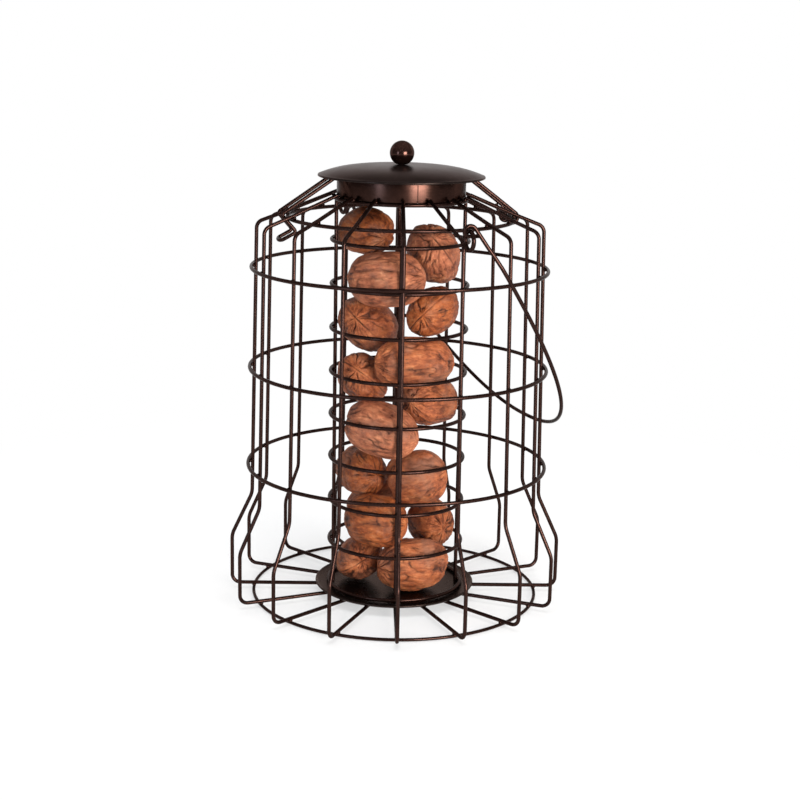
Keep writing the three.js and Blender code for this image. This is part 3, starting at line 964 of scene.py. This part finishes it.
def shown_share(tree):
    """1 for rays from the camera, off gloss and through glass, which see the plain white."""
    path = add(tree, "LightPath", {}).outputs
    seen = maths(tree, "MAXIMUM", path["Is Camera Ray"], path["Is Glossy Ray"])
    return maths(tree, "MAXIMUM", seen, path["Is Transmission Ray"])


def mix_into(tree, output, share, light, shown):
    """What the tree puts out: light at a share of 0, and shown at 1."""
    mix = add(tree, "MixShader", {"Fac": share, 1: light.outputs[0], 2: shown.outputs[0]})
    feed(tree, tree.nodes[output], {"Surface": mix.outputs[0]})


def floor():
    """Plain white, with the object's soft shadow."""
    material, tree, shader = new_material("floor_white")
    feed(tree, shader, {"Base Color": (*grey(0.8), 1), "Roughness": 0.9, "Specular IOR Level": 0})
    # The shadow shows near the object and fades into plain white away from it.
    from_middle = add(tree, "VectorMath", {0: object_point(tree)}, operation="LENGTH")
    fade = map_range(tree, from_middle.outputs["Value"], (0.12, 0.4), (0.55, 1))
    share = maths(tree, "MULTIPLY", shown_share(tree), fade)
    mix_into(tree, "Material Output", share, shader, add(tree, "Emission", {"Strength": 1}))
    made = bmesh.new()
    bmesh.ops.create_circle(made, cap_ends=True, radius=6, segments=96)
    stage_piece("floor", made, material).location.z = -0.2 * MM


def world():
    """Plain white behind the object, and a dim, cool light on it."""
    made = bpy.data.worlds.new("studio")
    bpy.context.scene.world = made
    made.use_nodes = True
    tree = made.node_tree
    light = tree.nodes["Background"]
    feed(tree, light, {"Color": (0.93, 0.96, 1, 1), "Strength": 0.45})
    white = add(tree, "Background", {"Color": (1, 1, 1, 1), "Strength": 1})
    mix_into(tree, "World Output", shown_share(tree), light, white)


def dark_wall():
    """The dim room in front of the object, with a paler ceiling.

    Only gloss shows it, and it casts no shade.
    """
    radius = 1.7
    made = bmesh.new()
    bmesh.ops.create_uvsphere(made, u_segments=48, v_segments=32, radius=radius)
    away = [v for v in made.verts
            if v.co.z < -0.01 or (v.co.y > 0.3 * radius and v.co.z < 0.6 * radius)]
    bmesh.ops.delete(made, geom=away, context="VERTS")
    material, tree, shader = new_material("wall_dark")
    height = add(tree, "SeparateXYZ", {0: object_point(tree)}).outputs["Z"]
    feed(tree, shader, {
        "Base Color": (0.20, 0.20, 0.21, 1),
        "Roughness": 0.9,
        "Emission Color": (1, 0.98, 0.96, 1),
        "Emission Strength": map_range(tree, height, (0.4 * radius, radius), (0, 0.28)),
    })
    wall = stage_piece("dark_wall", made, material)
    wall.visible_camera = False
    wall.visible_diffuse = False
    wall.visible_transmission = False
    wall.visible_shadow = False


def softbox(name, location, size, power, colour, in_gloss=True):
    """A rectangular lamp that faces the middle of the object."""
    data = bpy.data.lights.new(name, "AREA")
    data.shape = "RECTANGLE"
    data.size, data.size_y = size
    data.energy = power
    data.color = colour
    obj = bpy.data.objects.new(name, data)
    target = Vector((0, 0, 0.12))
    obj.location = location
    obj.rotation_mode = "QUATERNION"
    obj.rotation_quaternion = (target - Vector(location)).to_track_quat("-Z", "Y")
    obj.visible_glossy = in_gloss
    bpy.context.scene.collection.objects.link(obj)


def camera():
    """Placed by the photograph's rings and ribs."""
    down_deg = 13.25
    roll_deg = 1.117
    data = bpy.data.cameras.new("camera")
    data.lens = 71.04
    data.sensor_width = 36
    data.clip_start = 0.05
    data.clip_end = 20
    obj = bpy.data.objects.new("camera", data)
    tilt = Matrix.Rotation(math.radians(90 - down_deg), 4, "X")
    roll = Matrix.Rotation(math.radians(roll_deg), 4, "Z")
    obj.matrix_world = Matrix.Translation((0.00140, -0.81837, 0.29899)) @ tilt @ roll
    bpy.context.scene.collection.objects.link(obj)
    bpy.context.scene.camera = obj


floor()
world()
dark_wall()
softbox("softbox_left", (-0.80, -1.02, 0.27), (0.24, 0.5), 3.2, (0.62, 0.80, 1.0))
softbox("softbox_right", (0.66, -1.12, 0.27), (0.60, 0.5), 26, (1.0, 0.94, 0.87))
# Gloss doesn't show the two that light the object from above and from behind.
softbox("softbox_top", (0.0, -0.2, 1.3), (0.9, 0.7), 12, (1.0, 1.0, 1.0), in_gloss=False)
softbox("softbox_back", (0.15, 1.35, 0.5), (0.6, 0.6), 14, (1.0, 0.98, 0.95), in_gloss=False)
camera()
bpy.context.scene.view_settings.view_transform = "Standard"
